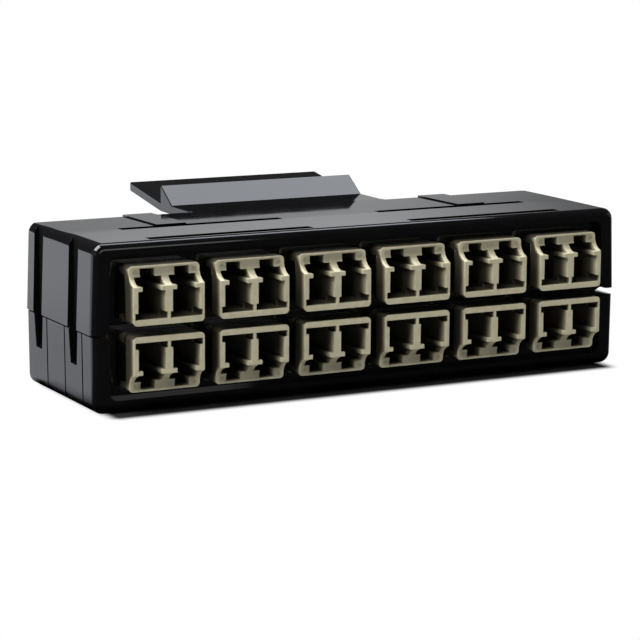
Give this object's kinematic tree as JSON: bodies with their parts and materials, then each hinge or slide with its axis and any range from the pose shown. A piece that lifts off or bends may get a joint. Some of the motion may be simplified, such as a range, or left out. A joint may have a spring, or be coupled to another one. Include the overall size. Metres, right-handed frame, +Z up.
{
  "type": "fibre adapter panel",
  "caption": "Snap-in fibre optic adapter panel: a split black housing that holds rows of ivory duplex adapters, with a sprung release latch at its rear.",
  "frame": {"origin": "centre of the housing's underside: mid-width, midway between its front rim and its rear edge", "axes": "+X to the right seen from the front, +Y from the ports to the latch, +Z up"},
  "size_m": [0.104, 0.0619, 0.0316],
  "materials": {
    "housing_black": "glossy moulded",
    "adapter_ivory": "semi-gloss moulded",
    "clip_steel": "dark spring steel"
  },
  "bodies": {
    "housing": {"upper_housing": "housing_black", "lower_housing": "housing_black", "adapter_front_upper_1": "adapter_ivory", "adapter_front_upper_2": "adapter_ivory", "adapter_front_upper_3": "adapter_ivory", "adapter_front_upper_4": "adapter_ivory", "adapter_front_upper_5": "adapter_ivory", "adapter_front_upper_6": "adapter_ivory", "adapter_front_lower_1": "adapter_ivory", "adapter_front_lower_2": "adapter_ivory", "adapter_front_lower_3": "adapter_ivory", "adapter_front_lower_4": "adapter_ivory", "adapter_front_lower_5": "adapter_ivory", "adapter_front_lower_6": "adapter_ivory", "adapter_rear_upper_1": "adapter_ivory", "adapter_rear_upper_2": "adapter_ivory", "adapter_rear_upper_3": "adapter_ivory", "adapter_rear_upper_4": "adapter_ivory", "adapter_rear_upper_5": "adapter_ivory", "adapter_rear_upper_6": "adapter_ivory", "adapter_rear_lower_1": "adapter_ivory", "adapter_rear_lower_2": "adapter_ivory", "adapter_rear_lower_3": "adapter_ivory", "adapter_rear_lower_4": "adapter_ivory", "adapter_rear_lower_5": "adapter_ivory", "adapter_rear_lower_6": "adapter_ivory", "clip_upper_1": "clip_steel", "clip_upper_2": "clip_steel", "clip_upper_3": "clip_steel", "clip_upper_4": "clip_steel", "clip_upper_5": "clip_steel", "clip_upper_6": "clip_steel", "clip_lower_1": "clip_steel", "clip_lower_2": "clip_steel", "clip_lower_3": "clip_steel", "clip_lower_4": "clip_steel", "clip_lower_5": "clip_steel", "clip_lower_6": "clip_steel"},
    "latch": {"release_latch": "housing_black"}
  },
  "joints": [
    {"name": "latch_flex", "type": "hinge", "parent": "housing", "child": "latch", "pos_m": [0, 0.01525, 0.02685], "axis": [1, 0, 0], "range_deg": [-12, 0], "stiffness_Nm_per_rad": 0.2}
  ]
}
